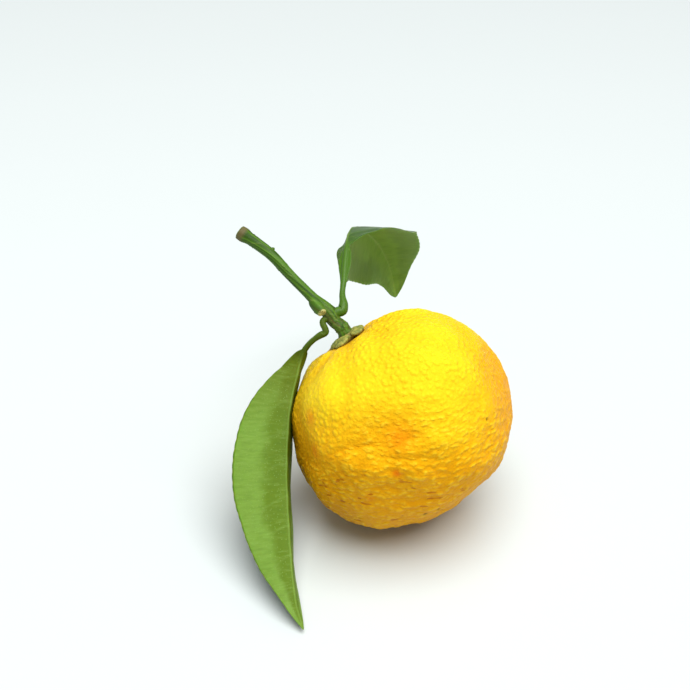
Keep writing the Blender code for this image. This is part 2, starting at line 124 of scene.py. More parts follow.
# The leaves. Fractions run along the spine, from the stalk's foot to the tip.
LEAF_STEP, LEAF_COLUMNS = 0.36, 61
SHEET_HALF_THICKNESS = 0.17
RIB_HALF_WIDTHS = ((0.0, 0.8), (0.3, 0.55), (1.0, 0.25))
FOLD_ROUNDING = 0.7
TOOTH_SPACING, TOOTH_DEPTH = 3.0, 0.11
TOOTHLESS_END = 1 / 6
WAVE_LAG = 0.9
ROOT_POINTS, SPINE_NUDGE = 400, 0.004
UPPER_FACE_ROUGHNESS, UNDERSIDE_ROUGHNESS = 0.35, 0.58
BLADE_OPENS = (-0.01, 0.05)  # round the blade's start, where the stalk flattens
COLUMN_SPREAD, TEETH_POWER, EDGE_POWER = 1.3, 6, 10
RIB_SOFTER, RIB_LOWER, INNER_RIB_LOWER = 0.75, 0.25, 0.75
VEIN_SIZES = {"Vein Spacing": 4.6, "Vein Slant": 0.42, "Vein Width": 0.3, "Vein Height": 0.04,
              "Puff Height": 0.07}

LEAF_FRONT = {
    "spine": ((-23.7, 11.1, 58.2), (-23.6, 10.6, 57.7), (-23.1, 9.9, 57.0), (-22.8, 9.2, 55.9),
              (-24.4, 9.1, 54.9), (-27.2, 9.0, 52.6), (-29.4, 8.9, 49.5), (-31.8, 4.3, 42.6),
              (-33.6, -2.9, 36.1), (-34.1, -10.4, 30.2), (-34.0, -19.7, 23.4),
              (-33.4, -27.4, 18.4), (-32.6, -35.2, 13.5), (-31.6, -42.9, 9.0),
              (-30.3, -50.1, 4.8), (-28.3, -55.9, 1.4)),
    "blade_from": 0.138,
    "half_width": ((0.0, 1.0), (0.02, 0.95), (0.05, 1.05), (0.08, 0.85), (0.125, 0.95),
                   (0.14, 2.0), (0.16, 3.0), (0.19, 4.9), (0.22, 6.9), (0.31, 11.3),
                   (0.40, 14.4), (0.48, 15.4), (0.60, 14.5), (0.70, 12.6), (0.79, 9.4),
                   (0.86, 6.4), (0.92, 3.7), (0.965, 1.8), (1.0, 0.2)),
    "half_thickness": ((0.0, 0.95), (0.05, 1.0), (0.08, 0.85), (0.14, 0.85), (0.25, 0.75),
                       (0.7, 0.6), (1.0, 0.2)),
    "normal": ((0.0, (0.67, -0.61, 0.41)), (1.0, (0.67, -0.61, 0.41))),
    "fold": ((0.0, 0.0), (0.12, 0.0), (0.2, 46.0), (0.8, 46.0), (1.0, 30.0)),
    "right_half_opens": 4.0,
    "curl": 0.07,
    "wave": (0.35, 3.5),
}

LEAF_BACK = {
    "spine": ((-18.7, 13.9, 60.3), (-18.1, 14.0, 60.4), (-17.6, 15.4, 61.3), (-17.9, 18.8, 63.3),
              (-17.5, 23.3, 66.1), (-17.1, 29.1, 69.4), (-16.5, 35.5, 72.2),
              (-15.5, 44.9, 72.3), (-13.1, 57.2, 68.6), (-9.1, 70.4, 60.6),
              (-4.5, 80.4, 51.0), (-0.4, 86.6, 38.9), (2.2, 88.6, 26.7)),
    "blade_from": 0.23,
    "half_width": ((0.0, 1.6), (0.02, 1.5), (0.05, 1.0), (0.08, 0.85), (0.12, 1.3),
                   (0.17, 2.1), (0.205, 1.8), (0.23, 0.95), (0.25, 3.6), (0.30, 10.0),
                   (0.38, 15.0), (0.47, 17.6), (0.56, 17.8), (0.66, 16.2), (0.76, 13.4),
                   (0.85, 10.0), (0.92, 6.6), (0.97, 3.4), (1.0, 0.5)),
    "half_thickness": ((0.0, 1.6), (0.03, 1.4), (0.08, 0.88), (0.22, 0.8), (0.35, 0.75),
                       (0.7, 0.6), (1.0, 0.2)),
    "normal": ((0.0, (-0.35, -0.75, 0.55)), (0.2, (-0.4, -0.65, 0.6)), (0.3, (-0.6, 0.1, 0.7)),
               (0.5, (-0.58, 0.48, 0.65)), (1.0, (-0.58, 0.6, 0.4))),
    "fold": ((0.0, 0.0), (0.22, 0.0), (0.3, 30.0), (0.5, 38.0), (0.8, 36.0), (1.0, 20.0)),
    "right_half_opens": 0.0,
    "curl": 0.08,
    "wave": (1.0, 2.5),
}

# The camera, the light and the table. The camera's place is in mm, the table's half side in
# metres, and the two colours are linear.
CAMERA_PLACE, CAMERA_TILT, SENSOR, LENS = (-17.1, -248.9, 200.5), 60.0, 36.0, 52.17
LIGHT_WAY, LIGHT_POWER, LIGHT_SPREAD = (0.17, -0.2, 0.96), 4.1, 56.0
ROOM_COLOUR, ROOM_POWER = (0.93, 0.97, 1.0, 1.0), 0.38
TABLE_COLOUR, TABLE_HALF_SIDE = (0.62, 0.66, 0.65, 1.0), 2.5


def unit(vectors):
    return vectors / np.linalg.norm(vectors, axis=-1, keepdims=True)


def bell(distance, reach):
    return np.exp(-((distance / reach) ** 2))


def ease(low, high, value):
    """0 below low, 1 above high, and smooth between."""
    t = np.clip((value - low) / (high - low), 0.0, 1.0)
    return t * t * (3 - 2 * t)


def hermite(spots, values, slopes, where):
    """A smooth curve through values at rising spots, with the given slopes there."""
    where = np.clip(where, spots[0], spots[-1])
    left = np.clip(np.searchsorted(spots, where, side="right") - 1, 0, len(spots) - 2)
    width = (spots[left + 1] - spots[left])[:, None]
    t = (where - spots[left])[:, None] / width
    near = (1 + 2 * t) * (1 - t) ** 2 * values[left] + t * (1 - t) ** 2 * width * slopes[left]
    far = t * t * (3 - 2 * t) * values[left + 1] + t * t * (t - 1) * width * slopes[left + 1]
    return near + far


def profile(keys, where):
    """Read (position, value) keys smoothly and without overshoot; a value may be a vector."""
    spots = np.array([key[0] for key in keys], float)
    values = np.array([key[1] for key in keys], float).reshape(len(keys), -1)
    rises = np.diff(values, axis=0) / np.diff(spots)[:, None]
    slopes = np.zeros_like(values)
    before, after = rises[:-1], rises[1:]
    same_way = before * after > 0
    slopes[1:-1][same_way] = (2 * before * after)[same_way] / (before + after)[same_way]
    slopes[0], slopes[-1] = rises[0], rises[-1]
    return hermite(spots, values, slopes, where)


def path_through(points, fractions):
    """Places at the given fractions of a smooth path's length, and the path's length."""
    points = np.array(points, float)
    steps = np.linalg.norm(np.diff(points, axis=0), axis=1)
    spots = np.concatenate(([0.0], np.cumsum(steps)))
    slopes = np.gradient(points, spots, axis=0)
    dense = hermite(spots, points, slopes, np.linspace(0.0, spots[-1], 80 * len(points)))
    run = np.concatenate(([0.0], np.cumsum(np.linalg.norm(np.diff(dense, axis=0), axis=1))))
    wanted = np.asarray(fractions) * run[-1]
    return np.stack([np.interp(wanted, run, dense[:, axis]) for axis in range(3)], 1), run[-1]


CENTRE = np.array((0.0, 0.0, CENTRE_HEIGHT))
FRUIT_TURN = np.array(Matrix.Rotation(STEM_BEARING, 3, "Z")
                      @ Matrix.Rotation(math.pi / 2 - STEM_RISE, 3, "Y"))
AXIS = FRUIT_TURN[:, 2]


def on_fruit(turn, latitude):
    """The direction, from the fruit's centre, of a turn and a latitude on it in degrees."""
    turn, latitude = math.radians(turn), math.radians(latitude)
    flat = math.cos(latitude)
    return FRUIT_TURN @ np.array((flat * math.cos(turn), flat * math.sin(turn), math.sin(latitude)))


def add_fields(mesh, **fields):
    """Store fields on the mesh's points: one number or one vector for each."""
    for field, values in fields.items():
        kind, part = ("FLOAT", "value") if values.ndim == 1 else ("FLOAT_VECTOR", "vector")
        mesh.attributes.new(field, kind, "POINT").data.foreach_set(part, values.ravel())


def mesh_of(name, places, faces, **fields):
    """A mesh in mm with its points' fields."""
    mesh = bpy.data.meshes.new(name)
    mesh.from_pydata(places.tolist(), [], [list(face) for face in faces])
    add_fields(mesh, **fields)
    mesh.update()
    mesh.shade_smooth()
    return mesh


def points_of(mesh):
    flat = np.empty(3 * len(mesh.vertices))
    mesh.vertices.foreach_get("co", flat)
    return flat.reshape(-1, 3)


def new_object(name, data):
    made = bpy.data.objects.new(name, data)
    bpy.context.scene.collection.objects.link(made)
    return made


def evaluated(mesh, modify):
    """The mesh with modifiers applied; modify(object) adds them to a passing object."""
    holder = new_object(mesh.name, mesh)
    modify(holder)
    depsgraph = bpy.context.evaluated_depsgraph_get()
    made = bpy.data.meshes.new_from_object(
        holder.evaluated_get(depsgraph), preserve_all_data_layers=True, depsgraph=depsgraph)
    bpy.data.objects.remove(holder, do_unlink=True)
    made.shade_smooth()
    return made


def grown(mesh, tree, sizes):
    """The mesh after a Geometry Nodes tree has grown its relief, with the tree's sizes set."""
    def modify(holder):
        modifier = holder.modifiers.new(tree.name, "NODES")
        modifier.node_group = tree
        for item in tree.interface.items_tree:
            if item.in_out == "INPUT" and item.name in sizes:
                modifier[item.identifier] = sizes[item.name]
    return evaluated(mesh, modify)


def fused(name, skins, grain, smoothing):
    """One closed skin round several closed skins, each given as (places, faces)."""
    places = np.concatenate([skin[0] for skin in skins])
    faces = []
    first = 0
    for skin_places, skin_faces in skins:
        faces.extend([[first + corner for corner in face] for face in skin_faces])
        first += len(skin_places)

    def modify(holder):
        remesh = holder.modifiers.new("fuse", "REMESH")
        remesh.mode = "VOXEL"
        remesh.voxel_size = grain
        soften = holder.modifiers.new("soften", "SMOOTH")
        soften.factor = 0.5
        soften.iterations = smoothing
    return evaluated(mesh_of(name, places, faces), modify)


def finish_piece(mesh, name, node):
    """Turn a mesh to metres and show it in place of its CAD node."""
    mesh.transform(Matrix.Scale(MM, 4))
    mesh.name = name
    piece = new_object(name, mesh)
    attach(piece, "root")
    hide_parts(node)
    return piece


def skin(rings):
    """Faces round and between rings of points, with a fan at each end; rings is (rows, sides, 3)."""
    rows, sides, _ = rings.shape
    index = np.arange(rows * sides).reshape(rows, sides)
    after = np.roll(index, -1, axis=1)
    quads = np.stack((index[:-1], after[:-1], after[1:], index[1:]), -1).reshape(-1, 4)
    start, end = rows * sides, rows * sides + 1
    faces = quads.tolist()
    faces += [[start, int(b), int(a)] for a, b in zip(index[0], after[0])]
    faces += [[end, int(a), int(b)] for a, b in zip(index[-1], after[-1])]
    places = np.concatenate((rings.reshape(-1, 3), [rings[0].mean(0), rings[-1].mean(0)]))
    return places, faces


def tube(points, radii, rows, sides):
    """A round bar along a path; radii are keys along it."""
    fractions = np.linspace(0.0, 1.0, rows)
    places, _ = path_through(points, fractions)
    tangent = unit(np.gradient(places, axis=0))
    side = unit(np.cross(tangent, (0.3, 0.9, 0.1)))
    other = np.cross(tangent, side)
    angles = np.linspace(0.0, 2 * math.pi, sides, endpoint=False)
    radius = profile(radii, fractions)[:, :, None]
    out = np.cos(angles)[:, None] * side[:, None] + np.sin(angles)[:, None] * other[:, None]
    return skin(places[:, None] + radius * out)


def colour(hexadecimal):
    """A colour written as an sRGB hex, as linear RGBA."""
    channels = [int(hexadecimal[start:start + 2], 16) / 255 for start in (1, 3, 5)]
    linear = [c / 12.92 if c <= 0.04045 else ((c + 0.055) / 1.055) ** 2.4 for c in channels]
    return (*linear, 1.0)


def feed(tree, node, feeds):
    """Set a node's inputs to values, or link them to other nodes' results."""
    for key, value in dict(feeds).items():
        if isinstance(key, int):
            socket = node.inputs[key]
        else:
            socket = next(one for one in node.inputs if one.enabled and one.name == key)
        if isinstance(value, bpy.types.Node):
            value = next(one for one in value.outputs if one.enabled)
        if isinstance(value, bpy.types.NodeSocket):
            tree.links.new(value, socket)
        else:
            socket.default_value = value


def add(tree, kind, feeds=(), **settings):
    """A node with its settings, its inputs fed."""
    node = tree.nodes.new(kind)
    for name, value in settings.items():
        setattr(node, name, value)
    feed(tree, node, feeds)
    return node


def fields_in(tree, *names):
    """The mesh's fields as a tree of either kind reads them; one named a place is a vector."""
    fields = {}
    for name in names:
        is_place = name.endswith("_place")
        if tree.type == "GEOMETRY":
            fields[name] = add(tree, "GeometryNodeInputNamedAttribute", {"Name": name},
                               data_type="FLOAT_VECTOR" if is_place else "FLOAT")
        else:
            read = add(tree, "ShaderNodeAttribute", attribute_name=name)
            fields[name] = read.outputs["Vector" if is_place else "Fac"]
    return fields


def relief_tree(name, sizes):
    """A Geometry Nodes tree with a mesh, named sizes and a material as inputs."""
    tree = bpy.data.node_groups.new(name, "GeometryNodeTree")
    tree.interface.new_socket("Geometry", in_out="INPUT", socket_type="NodeSocketGeometry")
    for size, start in sizes.items():
        socket = tree.interface.new_socket(size, in_out="INPUT", socket_type="NodeSocketFloat")
        socket.default_value = start
    tree.interface.new_socket("Material", in_out="INPUT", socket_type="NodeSocketMaterial")
    tree.interface.new_socket("Geometry", in_out="OUTPUT", socket_type="NodeSocketGeometry")
    return tree, add(tree, "NodeGroupInput").outputs


def end_tree(tree, inputs, height, fields):
    """Push the mesh out along its normals by height, keep fields on it and give it its material."""
    normal = add(tree, "GeometryNodeInputNormal")
    offset = add(tree, VECTOR_MATH, {0: normal, "Scale": height}, operation="SCALE")
    last = add(tree, "GeometryNodeSetPosition", {"Geometry": inputs["Geometry"], "Offset": offset})
    for field, value in fields.items():
        last = add(tree, "GeometryNodeStoreNamedAttribute",
                   {"Geometry": last, "Name": field, "Value": value})
    last = add(tree, "GeometryNodeRealizeInstances", {"Geometry": last})
    last = add(tree, "GeometryNodeSetMaterial", {"Geometry": last, "Material": inputs["Material"]})
    add(tree, "NodeGroupOutput", {"Geometry": last})


def pebbles_and_wrinkles(tree, place, wrinkle_place, pebble_width):
    """The rind's grain, for a tree of either kind: round pebbles and drawn-out ones, 0 to 1."""
    fineness = add(tree, MATH, {0: 1.0, 1: pebble_width}, operation="DIVIDE")
    cells = add(tree, CELLS, {"Vector": place, "Scale": fineness, "Smoothness": 0.4, "Detail": 0.0},
                feature="SMOOTH_F1")
    pebble = add(tree, RANGE, {"Value": cells, "From Min": 0.7, "From Max": 0.1}, **EASED)
    stray = add(tree, NOISE, {"Vector": wrinkle_place, "Scale": 0.7, "Detail": 1.5})
    stray = add(tree, VECTOR_MATH, {0: stray.outputs["Color"], "Scale": 1.3}, operation="SCALE")
    strayed = add(tree, VECTOR_MATH, {0: wrinkle_place, 1: stray}, operation="ADD")
    folds = add(tree, CELLS, {"Vector": strayed, "Scale": 1.0, "Smoothness": 0.5, "Detail": 0.0},
                feature="SMOOTH_F1")
    wrinkle = add(tree, RANGE, {"Value": folds, "From Min": 0.72, "From Max": 0.08}, **EASED)
    swell = add(tree, NOISE,
                {"Vector": wrinkle_place, "Scale": 0.8, "Detail": 2.0, "Roughness": 0.6})
    swell = add(tree, RANGE, {"Value": swell, "From Min": 0.3, "From Max": 0.7})
    wrinkle = add(tree, MIX, {0: 0.4, 2: wrinkle, 3: swell})
    return pebble, wrinkle


def rind_relief():
    """Pebbles over the crown, drawn-out wrinkles on broad rolls below it, and small pits."""
    tree, inputs = relief_tree("rind_relief", RIND_SIZES)
    place = add(tree, "GeometryNodeInputPosition")
    field = fields_in(tree, "calm", "wrinkled", "pit", "wrinkle_place")
    pebble, wrinkle = pebbles_and_wrinkles(tree, place, field["wrinkle_place"],
                                           inputs["Pebble Width"])
    rolls = add(tree, NOISE,
                {"Vector": place, "Scale": 1 / ROLL_LENGTH, "Detail": 1.5, "Roughness": 0.45})
    roll = add(tree, MATH, {0: rolls, 1: 0.5}, operation="SUBTRACT")
    roll = add(tree, MATH, {0: roll, 1: inputs["Roll Height"]}, operation="MULTIPLY")
    plain = add(tree, MATH, {0: pebble, 1: inputs["Pebble Height"]}, operation="MULTIPLY")
    drawn = add(tree, MATH, {0: wrinkle, 1: inputs["Wrinkle Height"]}, operation="MULTIPLY")
    drawn = add(tree, MATH, {0: drawn, 1: roll}, operation="ADD")
    height = add(tree, MIX, {0: field["wrinkled"], 2: plain, 3: drawn})
    height = add(tree, MATH, {0: height, 1: field["calm"]}, operation="MULTIPLY")
    hole = add(tree, MATH, {0: field["pit"], 1: PIT_DEPTH}, operation="MULTIPLY")
    height = add(tree, MATH, {0: height, 1: hole}, operation="SUBTRACT")
    end_tree(tree, inputs, height, {})
    return tree


def ball_of_cells(cells):
    """Unit directions and four-cornered faces of a cube of even cells blown up to a ball."""
    line = np.arange(cells + 1)
    u, v = [grid.ravel() for grid in np.meshgrid(line, line, indexing="ij")]
    sheets = []
    for axis in range(3):
        for side in (0, cells):
            sheet = np.empty((len(u), 3), int)
            sheet[:, axis] = side
            sheet[:, (axis + 1) % 3] = u if side else v
            sheet[:, (axis + 2) % 3] = v if side else u
            sheets.append(sheet)
    corners, index = np.unique(np.concatenate(sheets), axis=0, return_inverse=True)
    index = index.reshape(6, cells + 1, cells + 1)
    faces = np.stack((index[:, :-1, :-1], index[:, 1:, :-1], index[:, 1:, 1:], index[:, :-1, 1:]), -1)
    even = np.tan((corners / cells * 2 - 1) * math.pi / 4)
    return unit(even), faces.reshape(-1, 4)


def smooth_solid(node):
    """The CAD node in mm as a tree to cast rays on, welded and rounded between its corners."""
    shape = bmesh.new()
    shape.from_mesh(node.data)
    bmesh.ops.scale(shape, vec=(1 / MM, 1 / MM, 1 / MM), verts=shape.verts)
    bmesh.ops.remove_doubles(shape, verts=shape.verts, dist=0.01)
    bmesh.ops.join_triangles(shape, faces=shape.faces, angle_face_threshold=math.pi,
                             angle_shape_threshold=math.pi)
    welded = bpy.data.meshes.new("welded")
    shape.to_mesh(welded)
    shape.free()

    def modify(holder):
        rounded = holder.modifiers.new("rounded", "SUBSURF")
        rounded.levels = 2
        rounded.render_levels = 2
    rounded = evaluated(welded, modify)
    return BVHTree.FromPolygons([v.co for v in rounded.vertices],
                                [polygon.vertices for polygon in rounded.polygons])


def swellings(beside):
    """How far the front's swellings and hollows lift each place of the rind, in mm."""
    right, up, front = beside[:, 0], beside @ np.array(FRONT_UP), beside @ np.array(FRONT_WAY)
    total = np.zeros(len(beside))
    for middle, height, half_length, half_width, tilt, rise in SWELLINGS:
        tilt = math.radians(tilt)
        along = (right - middle) * math.cos(tilt) + (up - height) * math.sin(tilt)
        over = (up - height) * math.cos(tilt) - (right - middle) * math.sin(tilt)
        total += rise * bell(along, half_length) * bell(over, half_width)
    return total * ease(0.0, SWELLINGS_AT, front)


def make_rind(solid):
    directions, faces = ball_of_cells(RIND_CELLS)
    radius = np.array([solid.ray_cast(Vector(CENTRE), Vector(way))[3] for way in directions])
    beside = directions * radius[:, None]

    along_axis = directions @ AXIS
    across = np.sqrt(1 - np.clip(along_axis, -1, 1) ** 2)
    body = (across / EQUATOR_RADIUS) ** BODY_POWER + (np.abs(along_axis) / POLAR_RADIUS) ** BODY_POWER
    lump = radius - body ** (-1 / BODY_POWER)
    swelling = swellings(beside)
    beside = beside + directions * swelling[:, None]
    from_stem = np.arccos(np.clip(along_axis, -1, 1)) * EQUATOR_RADIUS

    level_up = beside @ np.array(FRONT_UP)
    round_side = ease(ROUND_FROM, ROUND_AT, np.maximum(beside[:, 0], beside[:, 1]))
    level = level_up * (1 - round_side) + (beside @ AXIS) * round_side
    smooth_left = LEFT_SMOOTHER * ease(LEFT_FROM, LEFT_AT, -beside[:, 0])
    wrinkled = 1 - ease(WRINKLED_BELOW - WRINKLED_FADE, WRINKLED_BELOW, level_up + smooth_left)
    from_spot = np.hypot(beside[:, 0] - SMOOTH_SPOT[0], level_up - SMOOTH_SPOT[1])
    calm = 1 - SMOOTHED_BY * bell(from_spot, SMOOTH_SPOT_REACH)
    calm = ease(CALM_FROM, CALM_AT, from_stem) * calm
    # Painted light: the rind is painted lemon yellow where light falls on its top, and stays orange
    # as painted shade along its right rim.
    sunny = ease(LIT_TOP_FROM, LIT_TOP_AT, level_up) * (1 - ease(SHADED_RIGHT_FROM, SHADED_RIGHT_AT, beside[:, 0]))
    drawn_out = np.outer(level, FRONT_UP)
    wrinkle_place = beside / WRINKLE_LENGTH + drawn_out * (1 / WRINKLE_WIDTH - 1 / WRINKLE_LENGTH)

    def marks(spots):
        total = np.zeros(len(beside))
        for turn, latitude, reach, strength in spots:
            away = np.arccos(np.clip(directions @ on_fruit(turn, latitude), -1, 1)) * EQUATOR_RADIUS
            total = np.maximum(total, strength * bell(away, reach))
        return total

    # The lump field, with the swellings counted SWELLING_TINT times, sets the painted shade in the
    # hollows.
    mesh = mesh_of("rind", beside + CENTRE, faces, wrinkle_place=wrinkle_place,
                   wrinkled=wrinkled, lump=lump + SWELLING_TINT * swelling,
                   low_down=ease(DASHES_FROM, DASHES_AT, level_up),
                   calm=calm, blush=marks(BLUSHES), pit=marks(PITS),
                   from_stem=from_stem, sunny=sunny)
    mesh = grown(mesh, rind_relief(), {**RIND_SIZES, "Material": rind_material()})
    places = points_of(mesh)
    places[:, 2] = np.maximum(places[:, 2], 0.0)
    mesh.vertices.foreach_set("co", places.ravel())
    return finish_piece(mesh, "rind", "fruit")


def twig_points():
    foot = CENTRE + AXIS * NECK_TOP
    return (foot - AXIS * TWIG_SUNK, foot + AXIS * TWIG_FOOT_RUN) + TWIG_PATH


def bark_relief():
    """Fine ridges along the twig, small raised lenticels, and knobs where its bark has aged."""
    tree, inputs = relief_tree("bark_relief", BARK_SIZES)
    place = add(tree, "GeometryNodeInputPosition")
    field = fields_in(tree, "grain_place", "spot_place", "aged")
    ridges = add(tree, NOISE, {"Vector": field["grain_place"], "Scale": 1.0, "Detail": 2.5,
                               "Roughness": 0.55})
    height = add(tree, MATH, {0: ridges, 1: inputs["Ridge Height"]}, operation="MULTIPLY")
    cells = add(tree, CELLS, {"Vector": field["spot_place"], "Scale": 1.0})
    dot = add(tree, RANGE, {"Value": cells, "From Min": 0.22, "From Max": 0.1}, **EASED)
    height = add(tree, MATH, {0: dot, 1: inputs["Lenticel Height"], 2: height},
                 operation="MULTIPLY_ADD")
    knobs = add(tree, NOISE, {"Vector": place, "Scale": 0.75, "Detail": 2.0})
    knob = add(tree, MATH, {0: knobs, 1: 0.5}, operation="SUBTRACT")
    knob = add(tree, MATH, {0: knob, 1: inputs["Knob Height"]}, operation="MULTIPLY")
    height = add(tree, MATH, {0: knob, 1: field["aged"], 2: height}, operation="MULTIPLY_ADD")
    end_tree(tree, inputs, height, {"lenticel": dot, "ridge": ridges})
    return tree


def make_twig():
    points = twig_points()
    skins = [tube(points, TWIG_RADII, TWIG_ROWS, TWIG_SIDES)]
    for stations in (SCAR_STUB, BUD_SCALE):
        points_on, radii = zip(*stations)
        keys = tuple(zip(np.linspace(0.0, 1.0, len(radii)), radii))
        skins.append(tube(points_on, keys, STUB_ROWS, STUB_SIDES))
    mesh = fused("twig", skins, TWIG_GRAIN, TWIG_SMOOTHING)
    places = points_of(mesh)
    line, length = path_through(points, np.linspace(0.0, 1.0, LINE_POINTS))
    gaps = np.linalg.norm(places[:, None] - line[None, ::LINE_STRIDE], axis=2)
    nearest = LINE_STRIDE * np.argmin(gaps, axis=1)
    out = unit(places - line[nearest])
    along = nearest / (LINE_POINTS - 1) * length
    past_end = (places - line[-1]) @ unit(line[-1] - line[-8])
    stub_start, stub_end = np.array(SCAR_STUB[-2][0]), np.array(SCAR_STUB[-1][0])
    from_stub = np.linalg.norm(places - stub_end, axis=1)
    past_stub = (places - stub_end) @ unit(stub_end - stub_start)
    add_fields(mesh, along=along / length, cut=ease(-0.25, -0.1, past_end),
               cut_radius=np.linalg.norm(places - line[-1], axis=1),
               scar=ease(1.5, 0.9, from_stub) * ease(-0.5, -0.15, past_stub),
               grain_place=out * RIDGES_OUT + (along / RIDGE_RUN)[:, None] * BARK_DRIFT,
               spot_place=out * SPOTS_OUT + (along / SPOT_RUN)[:, None] * BARK_DRIFT,
               aged=ease(AGED_FROM, AGED_AT, along / length))
    mesh = grown(mesh, bark_relief(), {**BARK_SIZES, "Material": bark_material()})
    return finish_piece(mesh, "twig_bark", "twig")


def calyx_relief():
    """Shallow wrinkles all over the lobes."""
    tree, inputs = relief_tree("calyx_relief", CALYX_SIZES)
    place = add(tree, "GeometryNodeInputPosition")
    folds = add(tree, NOISE, {"Vector": place, "Scale": 0.9, "Detail": 2.0, "Roughness": 0.55})
    height = add(tree, MATH, {0: folds, 1: 0.5}, operation="SUBTRACT")
    height = add(tree, MATH, {0: height, 1: inputs["Wrinkle Height"]}, operation="MULTIPLY")
    end_tree(tree, inputs, height, {"fold": folds})
    return tree


def make_calyx(solid):
    """Puffed lobes laid over the rind round a low hub, fused to one skin."""
    def over_rind(x, y):
        """Height of the rind along the fruit's axis at places across it."""
        heights = []
        for near_x, near_y in zip(x, y):
            start = CENTRE + FRUIT_TURN @ np.array((near_x, near_y, OVER_ALL))
            heights.append(OVER_ALL - solid.ray_cast(Vector(start), Vector(-AXIS))[3])
        return np.array(heights)

    ball, faces = ball_of_cells(LOBE_CELLS)
    skins = []
    for turn, size in LOBES:
        heading = math.radians(turn)
        pointed = 1.0 - LOBE_POINT * np.clip(ball[:, 0], 0.0, 1.0) ** LOBE_POINT_POWER
        ahead = LOBE_MIDDLE + LOBE_LENGTH * size * ball[:, 0]
        beside = LOBE_WIDTH * size * ball[:, 1] * pointed
        x = ahead * math.cos(heading) - beside * math.sin(heading)
        y = ahead * math.sin(heading) + beside * math.cos(heading)
        outward = ease(LOBE_LOW_FROM, LOBE_LOW_AT, ahead)
        lift = LOBE_LIFT_IN * (1 - outward) + LOBE_LIFT_OUT * outward
        puffed = LOBE_THICKNESS * size * ball[:, 2] * (LOBE_THIN + LOBE_FULL * pointed)
        z = over_rind(x, y) + lift + puffed
        skins.append((np.stack((x, y, z), 1), faces))
    hub = ball * np.array((CALYX_HUB_RADIUS, CALYX_HUB_RADIUS, CALYX_HUB_HEIGHT))
    skins.append((hub + np.array((0, 0, NECK_TOP - CALYX_HUB_HEIGHT)), faces))
    mesh = fused("calyx", skins, CALYX_GRAIN, CALYX_SMOOTHING)
    places = points_of(mesh)
    radius = np.hypot(places[:, 0], places[:, 1])
    above = places[:, 2] - over_rind(places[:, 0], places[:, 1])
    add_fields(mesh, above_rind=above, from_axis=radius)
    mesh.transform(Matrix.Translation(CENTRE) @ Matrix(FRUIT_TURN).to_4x4())
    mesh = grown(mesh, calyx_relief(), {**CALYX_SIZES, "Material": calyx_material()})
    return finish_piece(mesh, "calyx_lobes", "calyx")


def leaf_veins():
    """Side veins raised on one face and sunk on the other, with the blade puffed between them."""
    tree, inputs = relief_tree("leaf_veins", VEIN_SIZES)
    place = add(tree, "GeometryNodeInputPosition")
    field = fields_in(tree, "along", "beside", "outward", "face", "bladed")
    far = add(tree, MATH, {0: field["beside"]}, operation="ABSOLUTE")
    stray = add(tree, NOISE, {"Vector": place, "Scale": 0.12, "Detail": 1.0})
    slant = add(tree, MATH, {0: far, 1: inputs["Vein Slant"]}, operation="MULTIPLY")
    bent = add(tree, MATH, {0: field["outward"], 1: 4.0}, operation="POWER")
    slant = add(tree, MATH, {0: bent, 1: 3.0, 2: slant}, operation="MULTIPLY_ADD")
    run = add(tree, MATH, {0: field["along"], 1: slant}, operation="SUBTRACT")
    run = add(tree, MATH, {0: stray, 1: 5.0, 2: run}, operation="MULTIPLY_ADD")
    count = add(tree, MATH, {0: run, 1: inputs["Vein Spacing"]}, operation="DIVIDE")
    away = add(tree, MATH, {0: count, 1: 1.0}, operation="PINGPONG")
    away_mm = add(tree, MATH, {0: away, 1: inputs["Vein Spacing"]}, operation="MULTIPLY")
    slim = add(tree, MATH, {0: inputs["Vein Width"], 1: 1.8}, operation="MULTIPLY")
    vein = add(tree, RANGE, {"Value": away_mm, "From Min": slim, "From Max": 0.0}, **EASED)
    fading = add(tree, RANGE, {"Value": field["outward"], "From Min": 0.95, "From Max": 0.35})
    for share in (fading, field["bladed"]):
        vein = add(tree, MATH, {0: vein, 1: share}, operation="MULTIPLY")

    side = add(tree, RANGE, {"Value": field["face"], "To Min": -1.0, "To Max": 1.0})
    raised = add(tree, MATH, {0: vein, 1: inputs["Vein Height"]}, operation="MULTIPLY")
    puffed = add(tree, MATH, {0: away, 1: math.pi}, operation="MULTIPLY")
    puffed = add(tree, MATH, {0: puffed}, operation="COSINE")
    middle = add(tree, RANGE, {"Value": field["outward"], "From Min": 1.0, "From Max": 0.6})
    for share in (middle, field["bladed"]):
        puffed = add(tree, MATH, {0: puffed, 1: share}, operation="MULTIPLY")
    height = add(tree, MATH, {0: puffed, 1: inputs["Puff Height"], 2: raised},
                 operation="MULTIPLY_ADD")
    height = add(tree, MATH, {0: height, 1: side}, operation="MULTIPLY")
    end_tree(tree, inputs, height, {"vein": vein})
    return tree


def tooth(distance):
    """The margin's rounded teeth: 0 at a tooth's crown, -1 in the notch between two."""
    return -np.abs(np.cos(math.pi * distance / TOOTH_SPACING)) ** 3


